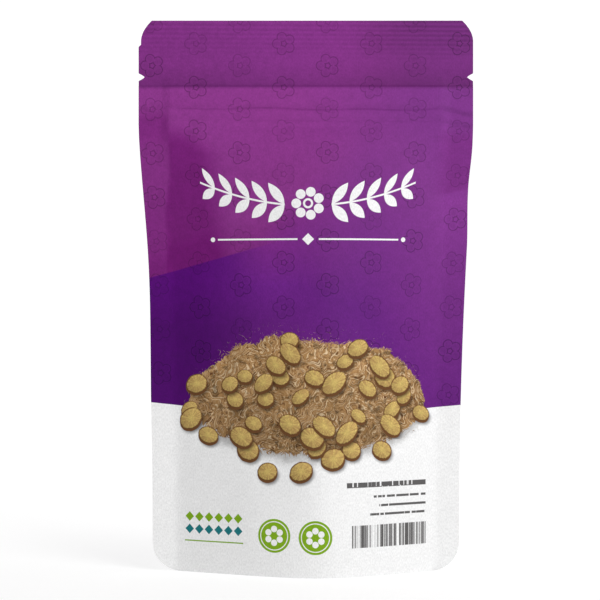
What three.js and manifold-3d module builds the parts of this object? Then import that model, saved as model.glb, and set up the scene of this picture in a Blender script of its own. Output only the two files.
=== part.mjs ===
// A stand-up zip pouch of dried cut root, sealed, filled and standing. Millimetres, +Z up.
// The front faces -Y, and the origin is on the table under the middle of the pouch.
// Three film panels are welded round their edges: the front, the back and a bottom gusset folded upwards.
// The two strips of a press-to-close zip are welded inside, and the loose root fills the lower part.

import * as THREE from "three";
import { mergeVertices } from "three/addons/utils/BufferGeometryUtils.js";
import Module from "manifold-3d";

const { lerp, smoothstep } = THREE.MathUtils;
const wasm = await Module();
wasm.setup();

// Driving dimensions of the pouch
const FILM_WIDTH = 160; // flat width of the front and back panels
const HEIGHT = 263; // standing height
const BULGE = 26; // half depth at the base, which the open gusset sets
const SIDE_SEAL = 10; // width of each side weld
const GUSSET_RISE = 40; // height of the gusset's fold at the side welds
const BASE_SEAL = 4; // height of the base weld at the middle
const RIDGE_RISE = 20; // height of the gusset's fold at the middle, where it is spread open
const FILM = 0.2; // film thickness
const WELD_GAP = 0.1; // line of glue between two welded films
const LEAF_GAP = 0.3; // slit between the two leaves of the folded gusset in the side welds

// Cut outline of the panels
const TOP_CORNER_WIDTH = 5.2; // the upper corners are cut off along a flat curve
const TOP_CORNER_HEIGHT = 10;
const BASE_CORNER_RADIUS = 13.8;
const BASE_CORNER_OUTSET = 0.05; // the lower cuts start this far out, as the side edges lean there
const NOTCH_HEIGHT = 236; // tear notch above the table
const NOTCH_DEPTH = 2.8;
const NOTCH_WIDTH = 3.6;

// Press-to-close zip
const ZIP_HEIGHT = 221.5; // middle of the zip above the table
const ZIP_TAPE = 18; // width of each tape
const ZIP_TAPE_THICKNESS = 0.3;
const ZIP_HALF_DEPTH = 1.5; // half the distance between the films beside the zip
const ZIP_HALF_LENGTH = 63;
const ZIP_TO_FILM = 0.1;
const SOCKET_RISE = 1.7; // the socket's walls stand this far off their tape
const SOCKET_LIP = 0.4; // thickness of the lips at the ends of the walls
const SOCKET_OUTER = 1.25; // half heights of the socket: over its walls, between them and between their lips
const SOCKET_INNER = 0.75;
const SOCKET_MOUTH = 0.45;
const RIB_RISE = 1.9; // the rib's tip stands this far off its tape
const RIB_STEM_RISE = 1.1;
const RIB_STEM = 0.25; // half heights of the rib: stem, barb and tip
const RIB_BARB = 0.6;
const RIB_TIP = 0.15;

// Root fill
const FILL_TOP = 180; // crown of the heap above the table
const FILL_SLOPE = 12; // fall of the heap towards the side welds
const FILL_CLEARANCE = 0.8; // distance kept from the films
const HEAP_RIPPLE = 1.6; // height of the slow waves on the heap's top
const CHIP_COUNT = 20;
const CHIP_LENGTH = 13;
const CHIP_WIDTH = 4.5;
const CHIP_THICKNESS = 2.6;
const CHIP_SEED = 11;

// Sizes worked out from those
const SEAL_EDGE = FILM_WIDTH / 2 - SIDE_SEAL; // inner edge of a side weld, on the flat film
const SLOT_EDGE = ZIP_HALF_LENGTH + 1; // the films keep the zip's depth out to here
const ZIP_LOW = ZIP_HEIGHT - ZIP_TAPE / 2;
const ZIP_HIGH = ZIP_HEIGHT + ZIP_TAPE / 2;
const HEADER_EASE = 8; // height over which the films close up above the zip
const ZIP_EASE = 30; // height over which the section takes up the zip's flat slot
const LEAF_SEAT = LEAF_GAP / 2 + FILM + WELD_GAP; // half distance between films that hold the gusset
const FILM_SEAT = WELD_GAP / 2; // half distance between films that are welded to each other

// Form of the bulge
const DRAW_IN = 0.72; // share of depth squared by which a bulging section draws its edges in
const DEPTH_HOLD = 2.5; // higher powers keep the depth further up the pouch
const DEPTH_CLOSE = 0.7; // lower powers close it more bluntly under the zip
const CREST_SIDE = 7; // the crest of the filling stands this far to the right of the film's middle line
const CREST_ROUND = 0.3; // low values make a section two flat faces that meet sharply on the crest
const LEFT_PULL = 1.4; // the left edge is drawn in this much more where the film is creased
const LEFT_PULL_SPAN = [75, 147, 215]; // height at which that starts, is fullest and ends
const WELD_CURVE = 2.6; // higher powers keep the base weld low for longer before it climbs to the sides

// Fineness of the film grids: spans of flat width and of height, each cut into equal steps
const BODY_STEPS = 9;
const HALF_WIDTH_SPANS = [
  [0, SLOT_EDGE, BODY_STEPS],
  [SLOT_EDGE, SEAL_EDGE, 2],
  [SEAL_EDGE, FILM_WIDTH / 2, 1],
];
const HEIGHT_SPANS = [
  [0, BASE_SEAL, 1],
  [BASE_SEAL, GUSSET_RISE, 5],
  [GUSSET_RISE, ZIP_LOW, 13],
  [ZIP_LOW, ZIP_HIGH, 3],
  [ZIP_HIGH, ZIP_HIGH + HEADER_EASE, 2],
  [ZIP_HIGH + HEADER_EASE, HEIGHT, 2],
];
const LEAF_STEPS = 3;
const ARCH_STEPS = 8;
const HEAP_LAYERS = 8;
const HEAP_ROWS = 12;

// Colours and finishes
const PRINTED_FILM = { color: 0x7a2f86, roughness: 0.55, metalness: 0 };
const WHITE_FILM = { color: 0xe8e8e6, roughness: 0.55, metalness: 0 };
const ZIP_PLASTIC = { color: 0xf2f2f0, roughness: 0.3, metalness: 0 };
const DRIED_ROOT = { color: 0xa8845a, roughness: 0.95, metalness: 0 };

// Form of the filled pouch

// Half the depth on the crest at a height, beyond the welds' own thickness.
function halfDepth(z) {
  if (z < ZIP_LOW) {
    const share = z / ZIP_LOW;
    return ZIP_HALF_DEPTH + (BULGE - ZIP_HALF_DEPTH) * (1 - share ** DEPTH_HOLD) ** DEPTH_CLOSE;
  }
  return ZIP_HALF_DEPTH * (1 - smoothstep(z, ZIP_HIGH, ZIP_HIGH + HEADER_EASE));
}

// Half distance between the films in the side welds: wider where the gusset's leaves lie between them.
function weldSeat(z) {
  return lerp(LEAF_SEAT, FILM_SEAT, smoothstep(z, GUSSET_RISE, GUSSET_RISE + HEADER_EASE));
}

// Distance of a side weld's inner edge from the middle plane x = 0, drawn in by the bulge and the crease.
function weldEdge(side, z) {
  const [from, fullest, to] = LEFT_PULL_SPAN;
  const crease = smoothstep(z, from, fullest) * (1 - smoothstep(z, fullest, to));
  const pull = side < 0 ? LEFT_PULL * crease : 0;
  return SEAL_EDGE - (DRAW_IN * halfDepth(z) ** 2) / SEAL_EDGE - pull;
}

// Place across the standing pouch of a point at flat distance u from the film's middle line.
function across(u, z) {
  const inside = Math.min(Math.abs(u), SEAL_EDGE);
  const inWeld = Math.abs(u) - inside;
  const side = Math.sign(u);
  return side * ((inside / SEAL_EDGE) * weldEdge(side, z) + inWeld);
}

// Share of the full depth across a section: two faces that fall from a rounded crest to the side welds.
function roof(u) {
  const reach = SEAL_EDGE - Math.sign(u - CREST_SIDE) * CREST_SIDE;
  const share = Math.min(Math.abs(u - CREST_SIDE) / reach, 1);
  const fall = Math.hypot(share, CREST_ROUND) - CREST_ROUND;
  return 1 - fall / (Math.hypot(1, CREST_ROUND) - CREST_ROUND);
}

// Distance of a panel's inner face from the middle plane y = 0. Towards the zip, the depth that the zip holds
// keeps flat along it, and the depth beyond that still falls away like a roof.
function innerFace(u, z) {
  const slot = 1 - smoothstep(Math.abs(u), SLOT_EDGE, SEAL_EDGE);
  const depth = halfDepth(z);
  const held = Math.min(depth, ZIP_HALF_DEPTH) * smoothstep(z, ZIP_LOW - ZIP_EASE, ZIP_LOW);
  return weldSeat(z) + (depth - held) * roof(u) + held * slot;
}

// Height of the curved base weld, which rises from the middle to the side welds.
function baseWeld(u) {
  const share = Math.min(Math.abs(u) / SEAL_EDGE, 1);
  return lerp(BASE_SEAL, GUSSET_RISE, share ** WELD_CURVE);
}

// Height of the gusset's fold line, spread flat at the middle and closed at the side welds.
function ridge(u) {
  const share = Math.min(Math.abs(u) / SEAL_EDGE, 1);
  return lerp(RIDGE_RISE, GUSSET_RISE, share ** 2);
}

// Geometry helpers

// Places from the start of the first span to the end of the last.
function stations(spans) {
  const found = [spans[0][0]];
  for (const [from, to, steps] of spans) {
    for (let i = 1; i <= steps; i++) found.push(lerp(from, to, i / steps));
  }
  return found;
}

function mirrored(half) {
  return [...half.slice(1).reverse().map((u) => -u), ...half];
}

// Leaves only the shared corner points, so that a geometry is one closed surface.
function closed(geometry) {
  geometry.deleteAttribute("normal");
  geometry.deleteAttribute("uv");
  return mergeVertices(geometry, 1e-4);
}

// A solid whose box grid is laid out by place(column, layer, row), given whole numbers from 0.
function gridSolid(columns, layers, rows, place) {
  const geometry = closed(new THREE.BoxGeometry(columns, layers, rows, columns, layers, rows));
  const position = geometry.attributes.position;
  for (let i = 0; i < position.count; i++) {
    const column = Math.round(position.getX(i) + columns / 2);
    const layer = Math.round(position.getY(i) + layers / 2);
    const row = Math.round(position.getZ(i) + rows / 2);
    position.setXYZ(i, ...place(column, layer, row));
  }
  return geometry;
}

function toManifold(geometry) {
  const mesh = new wasm.Mesh({
    numProp: 3,
    vertProperties: new Float32Array(geometry.attributes.position.array),
    triVerts: new Uint32Array(geometry.index.array),
  });
  return new wasm.Manifold(mesh);
}

function fromManifold(solid) {
  const mesh = solid.getMesh();
  const geometry = new THREE.BufferGeometry();
  geometry.setAttribute("position", new THREE.BufferAttribute(mesh.vertProperties, 3));
  geometry.setIndex(new THREE.BufferAttribute(mesh.triVerts, 1));
  geometry.computeVertexNormals();
  return geometry;
}

function subPart(name, geometry, finish) {
  const mesh = new THREE.Mesh(geometry, new THREE.MeshStandardMaterial(finish));
  mesh.name = name;
  return mesh;
}

// Cut outline: a cutter is a flat shape in x and z, driven right through the pouch's depth.

function cutter(shape) {
  const depth = 4 * BULGE;
  const geometry = new THREE.ExtrudeGeometry(shape, { depth, bevelEnabled: false, curveSegments: 6 });
  geometry.translate(0, 0, -depth / 2);
  geometry.rotateX(Math.PI / 2);
  return toManifold(closed(geometry));
}

// The scrap outside an upper corner, whose edge at x is cut off along a flat curve.
function topScrap(x, side) {
  const [inside, outside] = [x - side * TOP_CORNER_WIDTH, x + side * TOP_CORNER_WIDTH];
  const [low, beyond] = [HEIGHT - TOP_CORNER_HEIGHT, HEIGHT + TOP_CORNER_HEIGHT];
  const shape = new THREE.Shape();
  shape.moveTo(inside, HEIGHT);
  shape.quadraticCurveTo(x, (low + HEIGHT) / 2, x, low);
  shape.lineTo(outside, low);
  shape.lineTo(outside, beyond);
  shape.lineTo(inside, beyond);
  return cutter(shape);
}

// The scrap outside a round lower corner.
function baseScrap(x, side) {
  const radius = BASE_CORNER_RADIUS;
  const centre = x - side * radius;
  const shape = new THREE.Shape();
  shape.absarc(centre, radius, radius, -Math.PI / 2, side > 0 ? 0 : Math.PI, side < 0);
  shape.lineTo(x + side * radius, radius);
  shape.lineTo(x + side * radius, -radius);
  shape.lineTo(centre, -radius);
  return cutter(shape);
}

// A tear notch in the edge at x: a small vee with a round tip.
function notchScrap(x, side) {
  const half = NOTCH_WIDTH / 2;
  const shape = new THREE.Shape();
  shape.moveTo(x + side * NOTCH_DEPTH, NOTCH_HEIGHT - half);
  shape.lineTo(x, NOTCH_HEIGHT - half);
  shape.quadraticCurveTo(x - side * 2 * NOTCH_DEPTH, NOTCH_HEIGHT, x, NOTCH_HEIGHT + half);
  shape.lineTo(x + side * NOTCH_DEPTH, NOTCH_HEIGHT + half);
  return cutter(shape);
}

function outlineScraps() {
  const top = across(FILM_WIDTH / 2, HEIGHT);
  const base = across(FILM_WIDTH / 2, 0) + BASE_CORNER_OUTSET;
  const scraps = [];
  for (const side of [-1, 1]) {
    scraps.push(topScrap(side * top, side));
    scraps.push(baseScrap(side * base, side));
    scraps.push(notchScrap(side * top, side));
  }
  return scraps;
}

function trimmed(geometry, scraps) {
  let solid = toManifold(geometry);
  for (const scrap of scraps) solid = solid.subtract(scrap);
  return fromManifold(solid);
}

// Film panels

const COLUMNS = mirrored(stations(HALF_WIDTH_SPANS));
const ROWS = stations(HEIGHT_SPANS);

// The front panel has side -1 and the back panel has side 1.
function filmPanel(side, scraps) {
  const geometry = gridSolid(COLUMNS.length - 1, 1, ROWS.length - 1, (column, layer, row) => {
    const u = COLUMNS[column];
    const z = ROWS[row];
    const outer = (layer === 1) === (side === 1);
    const y = innerFace(u, z) + (outer ? FILM : 0);
    return [across(u, z), side * y, z];
  });
  return trimmed(geometry, scraps);
}

// The gusset runs up the inside of the front panel to the base weld, over its arch and down the back panel.
function gussetFilm(scraps) {
  const steps = 2 * LEAF_STEPS + ARCH_STEPS;
  const geometry = gridSolid(COLUMNS.length - 1, 1, steps, (column, layer, row) => {
    const u = COLUMNS[column];
    const weld = baseWeld(u);
    const beneath = layer * FILM; // the lower face of the film lies inside the upper one
    const fromEnd = Math.min(row, steps - row);
    const side = row < steps / 2 ? -1 : 1;
    if (fromEnd < LEAF_STEPS) {
      const z = (weld * fromEnd) / LEAF_STEPS;
      return [across(u, z), side * (innerFace(u, z) - WELD_GAP - beneath), z];
    }
    const share = lerp(-1, 1, (row - LEAF_STEPS) / ARCH_STEPS);
    const half = innerFace(u, weld) - WELD_GAP - beneath;
    const z = lerp(weld, ridge(u), 1 - share ** 2) - beneath;
    return [across(u, weld), share * half, z];
  });
  return trimmed(geometry, scraps);
}

// Zip strips: a profile drawn along x, whose points are distances from the film and heights from the middle

function zipStrip(side, profile) {
  const shape = new THREE.Shape();
  const film = ZIP_HALF_DEPTH - ZIP_TO_FILM;
  profile.forEach(([fromFilm, z], i) => {
    const y = side * (film - fromFilm);
    if (i === 0) shape.moveTo(y, ZIP_HEIGHT + z);
    else shape.lineTo(y, ZIP_HEIGHT + z);
  });
  const geometry = new THREE.ExtrudeGeometry(shape, { depth: 2 * ZIP_HALF_LENGTH, bevelEnabled: false });
  geometry.translate(0, 0, -ZIP_HALF_LENGTH);
  const axesRound = new THREE.Matrix4().set(0, 0, 1, 0, 1, 0, 0, 0, 0, 1, 0, 0, 0, 0, 0, 1);
  geometry.applyMatrix4(axesRound); // the profile's own plane becomes y and z, and its depth becomes x
  return closed(geometry);
}

// A profile that is the same above and below the zip's middle.
function bothHalves(upper) {
  return [...upper, ...upper.map(([fromFilm, z]) => [fromFilm, -z]).reverse()];
}

// The socket's channel has two walls whose lips close in behind the rib's head.
function zipSocket() {
  const tape = ZIP_TAPE_THICKNESS;
  const wall = tape + SOCKET_RISE;
  const lip = wall - SOCKET_LIP;
  return bothHalves([
    [0, ZIP_TAPE / 2],
    [tape, ZIP_TAPE / 2],
    [tape, SOCKET_OUTER],
    [wall, SOCKET_OUTER],
    [wall, SOCKET_MOUTH],
    [lip, SOCKET_MOUTH],
    [lip, SOCKET_INNER],
    [tape, SOCKET_INNER],
  ]);
}

// The rib is a stem with an arrow head, which snaps past the lips.
function zipRib() {
  const tape = ZIP_TAPE_THICKNESS;
  const barb = tape + RIB_STEM_RISE;
  return bothHalves([
    [0, ZIP_TAPE / 2],
    [tape, ZIP_TAPE / 2],
    [tape, RIB_STEM],
    [barb, RIB_STEM],
    [barb, RIB_BARB],
    [tape + RIB_RISE, RIB_TIP],
  ]);
}

// Root fill: one heap that takes the pouch's inner form, with chips of cut root standing out of its top.

// A repeatable draw between 0 and 1.
function drawFrom(seed) {
  let state = seed;
  return () => {
    state = (state * 16807) % 2147483647;
    return state / 2147483647;
  };
}

function heapTop(u, y) {
  const ripples = Math.sin(0.11 * u + 0.2 * y) + 0.75 * Math.sin(0.19 * u - 0.17 * y + 1);
  return FILL_TOP - FILL_SLOPE * (u / SEAL_EDGE) ** 2 + HEAP_RIPPLE * ripples;
}

function heapFloor(u, y) {
  const weld = baseWeld(u);
  const share = y / (innerFace(u, weld) - WELD_GAP);
  return lerp(weld, ridge(u), 1 - share ** 2) + FILL_CLEARANCE;
}

function heap() {
  const [columns, layers, rows] = [2 * BODY_STEPS, HEAP_LAYERS, HEAP_ROWS];
  return gridSolid(columns, layers, rows, (column, layer, row) => {
    const u = lerp(-SLOT_EDGE, SLOT_EDGE, column / columns);
    const share = lerp(-1, 1, layer / layers);
    const rise = row / rows;
    const wall = innerFace(u, lerp(baseWeld(u), FILL_TOP, rise)) - FILL_CLEARANCE - FILM - WELD_GAP;
    const y = share * wall;
    const z = lerp(heapFloor(u, y), heapTop(u, y), rise);
    return [across(u, z), y, z];
  });
}

// A split length of root, lying in the top of the heap at a drawn place and turn.
function chip(draw) {
  const u = lerp(-0.6, 0.6, draw()) * SEAL_EDGE;
  const wall = innerFace(u, FILL_TOP) - 0.75 * CHIP_LENGTH;
  const y = lerp(-1, 1, draw()) * Math.max(wall, 0);
  const size = lerp(0.6, 1, draw());
  const geometry = new THREE.CylinderGeometry(0.5, 0.42, 1, 5);
  geometry.scale(size * CHIP_WIDTH, size * CHIP_LENGTH, size * CHIP_THICKNESS);
  geometry.rotateX(lerp(-0.4, 0.4, draw()));
  geometry.rotateZ(lerp(0.25, 0.75, draw()) * Math.PI);
  geometry.translate(across(u, FILL_TOP), y, heapTop(u, y) - 0.6 * CHIP_THICKNESS);
  return toManifold(closed(geometry));
}

function rootFill() {
  const draw = drawFrom(CHIP_SEED);
  let solid = toManifold(heap());
  for (let i = 0; i < CHIP_COUNT; i++) solid = solid.add(chip(draw));
  return fromManifold(solid);
}

// The pouch

const scraps = outlineScraps();
const pouch = new THREE.Group();
pouch.add(
  subPart("front_panel", filmPanel(-1, scraps), PRINTED_FILM),
  subPart("back_panel", filmPanel(1, scraps), PRINTED_FILM),
  subPart("bottom_gusset", gussetFilm(scraps), WHITE_FILM),
  subPart("zip_socket_strip", zipStrip(-1, zipSocket()), ZIP_PLASTIC),
  subPart("zip_rib_strip", zipStrip(1, zipRib()), ZIP_PLASTIC),
  subPart("root_fill", rootFill(), DRIED_ROOT),
);

export default pouch;
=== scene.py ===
"""A filled stand-up zip pouch of matte printed film, dressed over its solid model.

Metres, +Z up, front to -Y. Places on the print are in millimetres on the flat film, u across
from the middle line, v up.
"""

import math

import bpy
import numpy as np
from bpy.props import FloatProperty, FloatVectorProperty, PointerProperty
from bpy.types import Operator, Panel, PropertyGroup
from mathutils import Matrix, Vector


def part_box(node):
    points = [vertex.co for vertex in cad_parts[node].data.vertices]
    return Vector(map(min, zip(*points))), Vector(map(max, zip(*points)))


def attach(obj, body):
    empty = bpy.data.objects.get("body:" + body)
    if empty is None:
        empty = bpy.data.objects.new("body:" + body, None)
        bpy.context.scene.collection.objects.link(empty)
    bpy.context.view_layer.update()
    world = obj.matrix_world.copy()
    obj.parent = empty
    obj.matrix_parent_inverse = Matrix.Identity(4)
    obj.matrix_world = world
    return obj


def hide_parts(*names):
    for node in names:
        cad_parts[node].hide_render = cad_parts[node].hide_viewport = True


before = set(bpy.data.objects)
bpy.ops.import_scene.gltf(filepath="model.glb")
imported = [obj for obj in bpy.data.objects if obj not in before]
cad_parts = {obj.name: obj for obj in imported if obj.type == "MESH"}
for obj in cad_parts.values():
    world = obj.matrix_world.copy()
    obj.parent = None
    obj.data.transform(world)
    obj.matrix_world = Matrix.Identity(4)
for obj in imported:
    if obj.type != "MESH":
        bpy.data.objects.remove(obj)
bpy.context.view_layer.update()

bl_info = {
    "name": "Stand-up zip pouch",
    "version": (1, 0, 0),
    "blender": (4, 5, 0),
    "location": "3D View > Sidebar > Pouch",
    "description": "Dresses the solid model of a filled stand-up pouch in matte printed film",
    "category": "Add Mesh",
}

MM = 0.001

# Sizes that the solid model sets
PANEL_LOW, PANEL_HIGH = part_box("front_panel")
STRIP_LOW, STRIP_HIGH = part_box("zip_socket_strip")
POUCH_WIDTH = PANEL_HIGH.x - PANEL_LOW.x
POUCH_HEIGHT = PANEL_HIGH.z
HALF_DEPTH = -PANEL_LOW.y
GUSSET_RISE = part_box("bottom_gusset")[1].z
ZIP_LOW = STRIP_LOW.z
ZIP_HIGH = STRIP_HIGH.z
ZIP_MIDDLE = (ZIP_LOW + ZIP_HIGH) / 2
SLOT_EDGE = STRIP_HIGH.x + 1 * MM

# Heights where each side edge starts to be drawn in, is drawn in most and is straight again
LEFT_PULL = (75 * MM, 147 * MM, 215 * MM)
RIGHT_PULL = (154 * MM, 182 * MM, 204 * MM)

# Places on the flat film that the form and the print share, in millimetres
LEDGE = (229.6, 232.0)
RIBS = (239, 261)
GROOVE = 259.7
CREASE_SIDE = 76
CREASE_HEIGHT = 182
CREASE_SLOPE = 0.22

# Shadows of the pictured root, on the ground and on what lies beneath
BED_SHADOW = (0.03, 0.018, 0.012)
SLICE_SHADOW = (0.02, 0.01, 0.006)

# Steps of a film's grid from the middle line to the ends of the zip strips
PANEL_STEPS = 50
GUSSET_STEPS = 36

# Edges that turn more than this look sharp
SHARP_ANGLE = math.radians(50)

# Where the large soft lamp stands
KEY_PLACE = (0.50, -0.62, 0.55)


def length(name, description, millimetres):
    return FloatProperty(
        name=name, description=description, default=millimetres * MM, unit="LENGTH", precision=5
    )


def factor(name, description, value):
    return FloatProperty(name=name, description=description, default=value, precision=3)


def colour(name, description, red, green, blue):
    return FloatVectorProperty(
        name=name, description=description, default=(red, green, blue), subtype="COLOR", min=0, max=1
    )


class PouchSizes(PropertyGroup):
    """Sizes of the film and of what its contents and welds press into it."""

    film: length("Film", "Thickness of the film", 0.2)
    web_width: length("Web width", "Width that the films are cut to", 160)
    panel_length: length("Panel length", "Length that the front and the back are cut to", 270)
    gusset_length: length("Gusset length", "Length of the gusset's film, laid flat", 80)
    seal: length("Side seal", "Width of each side weld", 10)
    seat: length("Weld", "Half distance between the films in a side weld", 0.05)
    gusset_seat: length("Gusset weld", "The same where the gusset's leaves lie between the films", 0.45)
    base_seal: length("Base seal", "Height of the base weld at the middle", 4)
    ridge: length("Gusset ridge", "Height of the spread gusset at the middle", 20)
    zip_half: length("Zip", "Half distance between the films beside the zip", 1.5)
    corner_width: length("Top corner width", "How much of the top edge an upper corner's cut takes", 5.2)
    corner_height: length("Top corner height", "How far down the side that cut runs", 10)
    base_corner: length("Base corner", "Radius of the lower corners", 13.8)
    cut_step: length("Cut step", "Small step where the upper left corner's cut meets the side", 1.15)
    notch_height: length("Notch height", "Height of the tear notches", 236)
    notch_depth: length("Notch depth", "How far the tear notches cut in", 2.8)
    notch_width: length("Notch width", "Width of a tear notch at the edge", 3.6)
    draw_in: factor("Draw in", "Share of depth squared that draws a section's edges in", 0.72)
    depth_hold: factor("Depth hold", "Higher powers keep the depth further up", 2.5)
    ease: length("Ease", "Height over which the film leaves the zip gently", 2.5)
    left_pull: length("Left pull", "How much more the left edge is drawn in at its crease", 1.4)
    right_pull: length("Right pull", "The same at the right edge", 1)
    crease: length("Crease", "Height of the ridge under the crease at the right edge", 0.4)
    foot: length("Foot", "Radius of the film's bend out of the side welds, high up", 2)
    low_foot: length("Low foot", "The same low down, where the contents press", 3.5)
    depth_close: factor("Depth close", "Lower powers close the pouch more bluntly", 0.7)
    crest_side: length("Crest side", "How far right of the middle line the filling's crest stands", 7)
    crest: factor("Crest", "Roundness of a section's crest", 0.3)
    weld_curve: factor("Weld curve", "Higher powers keep the base weld low for longer", 2.6)
    ledge: length("Ledge", "Height of the step at the zip's upper edge", 1.7)
    lean: length("Header lean", "How far the header bends back over the zip", 0.5)
    crush: length("Crushed ends", "Thickness of the zip's crushed ends in the side welds", 0.3)
    track: length("Track", "Rise of the film over the zip's track", 0.8)
    rib_pitch: length("Rib pitch", "Distance between the ribs pressed in the top weld", 2.2)
    rib_slant: factor("Rib slant", "Fall of those ribs across the header", 0.008)
    rib_depth: length("Rib depth", "Depth of those ribs", 0.06)
    groove: length("Groove", "Depth of the line pressed along the top edge", 0.1)
    lump: length("Lumps", "Height of the contents' soft lumps", 0.3)
    pucker: length("Puckers", "Height of the puckers along the side welds", 0.14)


class PouchInks(PropertyGroup):
    """Colours of the print, the film and the contents; shaded plum is painted shade."""

    paper: colour("Paper white", "Unprinted film", 0.836, 0.836, 0.836)
    plum: colour("Plum", "Upper field, left", 0.238, 0.034, 0.232)
    # Mulberry is the header's print, dark enough to be painted shade of the step over the zip as well
    mulberry: colour("Mulberry", "Header", 0.191, 0.026, 0.198)
    # Shaded plum is painted shade of the plum at the left face and above the right crease, also laid just
    # over the slanted edge
    shaded_plum: colour("Deep plum", "Upper field, far left", 0.152, 0.0078, 0.148)
    violet: colour("Violet", "Upper field, right", 0.193, 0.0325, 0.229)
    indigo: colour("Indigo", "Lower field, left", 0.0664, 0.0015, 0.124)
    amethyst: colour("Amethyst", "Lower field, right", 0.119, 0.0129, 0.187)
    flesh: colour("Root flesh", "Face of the pictured root slices", 0.56, 0.41, 0.13)
    tan: colour("Root tan", "Dry rays of the pictured root slices", 0.34, 0.19, 0.075)
    husk: colour("Root husk", "Shreds of finely cut root", 0.47, 0.30, 0.15)
    straw: colour("Root straw", "Palest shreds of finely cut root", 0.62, 0.46, 0.28)
    bark: colour("Root bark", "Rim of the pictured root slices", 0.13, 0.055, 0.02)
    green: colour("Leaf green", "Round badges", 0.20, 0.37, 0.012)
    teal: colour("Teal", "Small strip of diamonds", 0.012, 0.17, 0.19)
    ink: colour("Black ink", "Ruled lines and stripes", 0.025, 0.02, 0.02)


class PouchStage(PropertyGroup):
    """Camera, floor and lights."""

    camera_distance: length("Camera distance", "From the pouch's middle plane", 900)
    camera_height: length("Camera height", "Above the table", 129.4)
    camera_side: length("Camera side", "To the right of the pouch's middle", -2.8)
    frame_width: length("Frame width", "Width of the picture at the pouch", 287)
    key: factor("Key", "Watts of the large soft lamp at the front right", 4.8)
    key_size: length("Key size", "Width of that lamp", 600)
    sky: factor("Sky", "Strength of the even light from all round", 0.385)
    glow: factor("Backdrop glow", "Strength of the light that the backdrop gives off", 0.72)
    floor: colour("Floor", "Paper of the sweep, which its glow makes pale", 0.5, 0.5, 0.5)


# Form of the filled pouch


def smooth(value, low, high):
    """0 at low, 1 at high and smooth between, whichever is the greater."""
    share = np.clip((value - low) / (high - low), 0, 1)
    return share * share * (3 - 2 * share)


def peaked(value, low, middle, high):
    """1 at the middle and 0 at both ends."""
    return smooth(value, low, middle) * smooth(value, high, middle)


def mix(low, high, share):
    return low + (high - low) * share


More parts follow.
